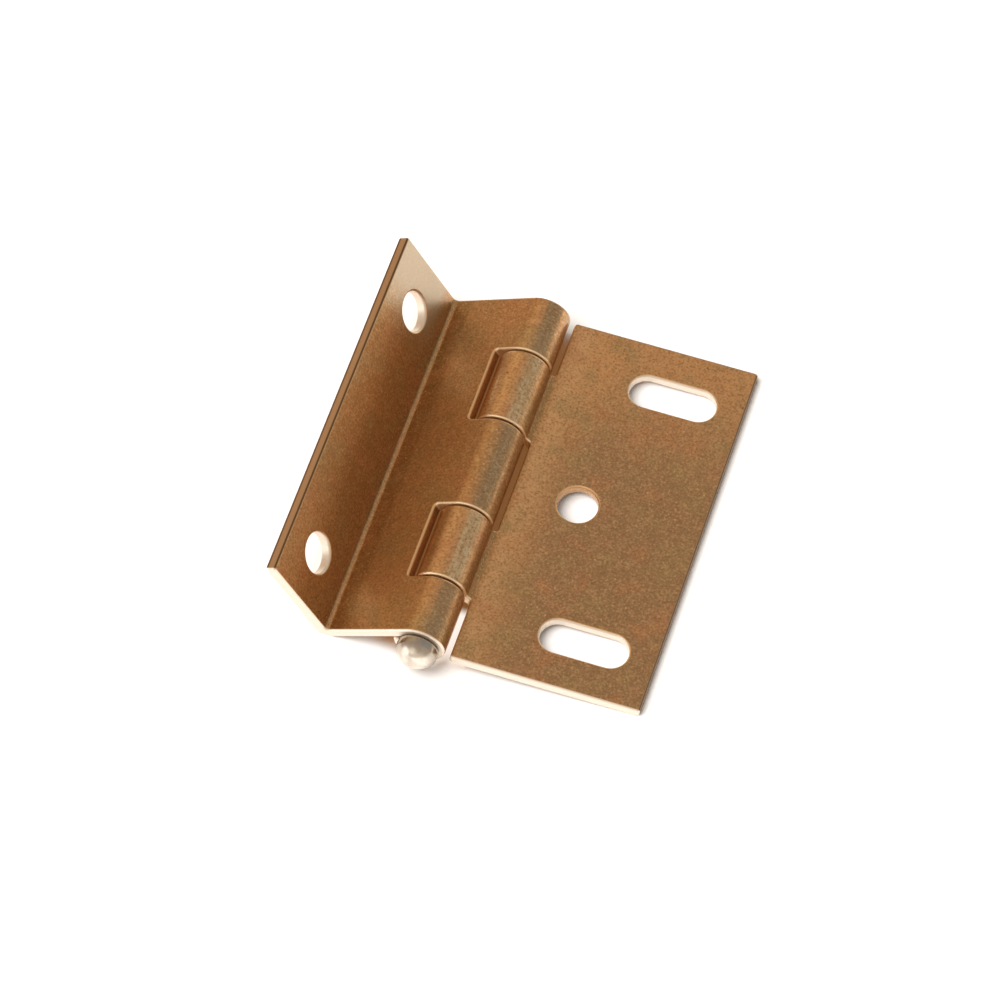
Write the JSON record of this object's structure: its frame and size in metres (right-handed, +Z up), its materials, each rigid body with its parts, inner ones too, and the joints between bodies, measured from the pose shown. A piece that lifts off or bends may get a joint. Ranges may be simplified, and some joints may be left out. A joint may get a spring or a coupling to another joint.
{
  "type": "cranked loose-pin hinge",
  "caption": "Cranked cabinet hinge: a flat slotted leaf and a right-angle folded leaf, with rolled knuckles interleaved on a headed loose pin.",
  "frame": {"origin": "middle of the footprint, on the surface that the hinge lies on", "axes": "+X from the barrel towards the flat leaf's free edge, +Y along the pin away from its head, +Z up"},
  "size_m": [0.046, 0.0528, 0.0126],
  "materials": {
    "brassed_sheet": "satin electro-brass on steel sheet",
    "pin_steel": "bright drawn steel"
  },
  "bodies": {
    "cranked_leaf": {"cranked_leaf": "brassed_sheet"},
    "flat_leaf": {"flat_leaf": "brassed_sheet"},
    "pin": {"hinge_pin": "pin_steel"}
  },
  "joints": [
    {"name": "leaf_swing", "type": "hinge", "parent": "cranked_leaf", "child": "flat_leaf", "pos_m": [-0.00441, 0.00143, 0.00325], "axis": [0, 1, 0], "range_deg": [-154, 150.5]},
    {"name": "pin_draw", "type": "slide", "parent": "cranked_leaf", "child": "pin", "axis": [0, -1, 0], "range_m": [0, 0.055]}
  ]
}
